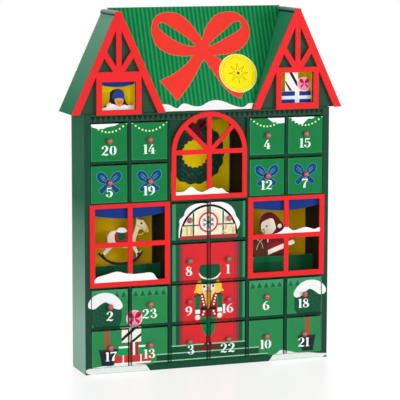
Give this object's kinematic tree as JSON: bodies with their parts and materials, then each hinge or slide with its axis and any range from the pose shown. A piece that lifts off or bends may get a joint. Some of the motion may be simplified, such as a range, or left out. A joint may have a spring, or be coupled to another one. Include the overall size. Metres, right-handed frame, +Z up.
{
  "type": "chocolate advent calendar",
  "caption": "House-shaped card advent calendar with numbered pull-out drawers for chocolates, window rooms, twin gables and a sloping roof.",
  "frame": {"origin": "middle of the base, on the surface that the calendar stands on", "axes": "+X to the right seen from the front, -Y out of the drawers' fronts, +Z up"},
  "size_m": [0.3872, 0.066, 0.4893],
  "materials": {
    "carton_card": "dark green printed card, satin",
    "side_card": "mid green printed card, satin",
    "roof_card": "green striped printed card, satin",
    "gable_card": "green printed card, satin",
    "frame_card": "red printed die-cut card, satin",
    "room_card": "yellow printed card, satin",
    "figure_card": "printed figure card, satin",
    "wreath_card": "dark green printed card, satin",
    "drawer_card": "green printed card tray, satin",
    "door_drawer_card": "red printed card tray, satin"
  },
  "bodies": {
    "calendar_body": {"back_panel": "carton_card", "left_side_wall": "side_card", "right_side_wall": "side_card", "base_rail": "carton_card", "head_rail": "carton_card", "shelf_row_5": "carton_card", "shelf_row_4": "carton_card", "shelf_row_2": "carton_card", "shelf_row_3_middle": "carton_card", "shelf_row_1_left": "carton_card", "shelf_row_1_right": "carton_card", "upright_2": "carton_card", "upright_4": "carton_card", "upright_3_middle": "carton_card", "upright_1_low": "carton_card", "upright_1_high": "carton_card", "upright_5_low": "carton_card", "upright_5_high": "carton_card", "left_window_frame": "frame_card", "right_window_frame": "frame_card", "arched_window_frame": "frame_card", "left_room_liner": "room_card", "right_room_liner": "room_card", "arched_room_liner": "room_card", "rocking_horse": "figure_card", "doll_with_sack": "figure_card", "wreath": "wreath_card", "left_gable_roof": "gable_card", "left_gable_front": "carton_card", "left_gable_frame": "frame_card", "left_gable_room": "room_card", "right_gable_roof": "gable_card", "right_gable_front": "carton_card", "right_gable_frame": "frame_card", "right_gable_room": "room_card", "roof_panel": "roof_card"},
    "drawer_01": {"drawer_01": "door_drawer_card"},
    "drawer_02": {"drawer_02": "drawer_card"},
    "drawer_03": {"drawer_03": "door_drawer_card"},
    "drawer_04": {"drawer_04": "drawer_card"},
    "drawer_05": {"drawer_05": "drawer_card"},
    "drawer_06": {"drawer_06": "drawer_card"},
    "drawer_07": {"drawer_07": "drawer_card"},
    "drawer_08": {"drawer_08": "door_drawer_card"},
    "drawer_09": {"drawer_09": "door_drawer_card"},
    "drawer_10": {"drawer_10": "drawer_card"},
    "drawer_11": {"drawer_11": "drawer_card"},
    "drawer_12": {"drawer_12": "drawer_card"},
    "drawer_13": {"drawer_13": "drawer_card"},
    "drawer_14": {"drawer_14": "drawer_card"},
    "drawer_15": {"drawer_15": "drawer_card"},
    "drawer_16": {"drawer_16": "door_drawer_card"},
    "drawer_17": {"drawer_17": "drawer_card"},
    "drawer_18": {"drawer_18": "drawer_card"},
    "drawer_19": {"drawer_19": "drawer_card"},
    "drawer_20": {"drawer_20": "drawer_card"},
    "drawer_21": {"drawer_21": "drawer_card"},
    "drawer_22": {"drawer_22": "door_drawer_card"},
    "drawer_23": {"drawer_23": "drawer_card"},
    "drawer_24": {"drawer_24": "drawer_card"}
  },
  "joints": [
    {"name": "drawer_01_slide", "type": "slide", "parent": "calendar_body", "child": "drawer_01", "axis": [0, -1, 0], "range_m": [0, 0.046]},
    {"name": "drawer_02_slide", "type": "slide", "parent": "calendar_body", "child": "drawer_02", "axis": [0, -1, 0], "range_m": [0, 0.046]},
    {"name": "drawer_03_slide", "type": "slide", "parent": "calendar_body", "child": "drawer_03", "axis": [0, -1, 0], "range_m": [0, 0.046]},
    {"name": "drawer_04_slide", "type": "slide", "parent": "calendar_body", "child": "drawer_04", "axis": [0, -1, 0], "range_m": [0, 0.046]},
    {"name": "drawer_05_slide", "type": "slide", "parent": "calendar_body", "child": "drawer_05", "axis": [0, -1, 0], "range_m": [0, 0.046]},
    {"name": "drawer_06_slide", "type": "slide", "parent": "calendar_body", "child": "drawer_06", "axis": [0, -1, 0], "range_m": [0, 0.046]},
    {"name": "drawer_07_slide", "type": "slide", "parent": "calendar_body", "child": "drawer_07", "axis": [0, -1, 0], "range_m": [0, 0.046]},
    {"name": "drawer_08_slide", "type": "slide", "parent": "calendar_body", "child": "drawer_08", "axis": [0, -1, 0], "range_m": [0, 0.046]},
    {"name": "drawer_09_slide", "type": "slide", "parent": "calendar_body", "child": "drawer_09", "axis": [0, -1, 0], "range_m": [0, 0.046]},
    {"name": "drawer_10_slide", "type": "slide", "parent": "calendar_body", "child": "drawer_10", "axis": [0, -1, 0], "range_m": [0, 0.046]},
    {"name": "drawer_11_slide", "type": "slide", "parent": "calendar_body", "child": "drawer_11", "axis": [0, -1, 0], "range_m": [0, 0.046]},
    {"name": "drawer_12_slide", "type": "slide", "parent": "calendar_body", "child": "drawer_12", "axis": [0, -1, 0], "range_m": [0, 0.046]},
    {"name": "drawer_13_slide", "type": "slide", "parent": "calendar_body", "child": "drawer_13", "axis": [0, -1, 0], "range_m": [0, 0.046]},
    {"name": "drawer_14_slide", "type": "slide", "parent": "calendar_body", "child": "drawer_14", "axis": [0, -1, 0], "range_m": [0, 0.046]},
    {"name": "drawer_15_slide", "type": "slide", "parent": "calendar_body", "child": "drawer_15", "axis": [0, -1, 0], "range_m": [0, 0.046]},
    {"name": "drawer_16_slide", "type": "slide", "parent": "calendar_body", "child": "drawer_16", "axis": [0, -1, 0], "range_m": [0, 0.046]},
    {"name": "drawer_17_slide", "type": "slide", "parent": "calendar_body", "child": "drawer_17", "axis": [0, -1, 0], "range_m": [0, 0.046]},
    {"name": "drawer_18_slide", "type": "slide", "parent": "calendar_body", "child": "drawer_18", "axis": [0, -1, 0], "range_m": [0, 0.046]},
    {"name": "drawer_19_slide", "type": "slide", "parent": "calendar_body", "child": "drawer_19", "axis": [0, -1, 0], "range_m": [0, 0.046]},
    {"name": "drawer_20_slide", "type": "slide", "parent": "calendar_body", "child": "drawer_20", "axis": [0, -1, 0], "range_m": [0, 0.046]},
    {"name": "drawer_21_slide", "type": "slide", "parent": "calendar_body", "child": "drawer_21", "axis": [0, -1, 0], "range_m": [0, 0.046]},
    {"name": "drawer_22_slide", "type": "slide", "parent": "calendar_body", "child": "drawer_22", "axis": [0, -1, 0], "range_m": [0, 0.046]},
    {"name": "drawer_23_slide", "type": "slide", "parent": "calendar_body", "child": "drawer_23", "axis": [0, -1, 0], "range_m": [0, 0.046]},
    {"name": "drawer_24_slide", "type": "slide", "parent": "calendar_body", "child": "drawer_24", "axis": [0, -1, 0], "range_m": [0, 0.046]}
  ]
}
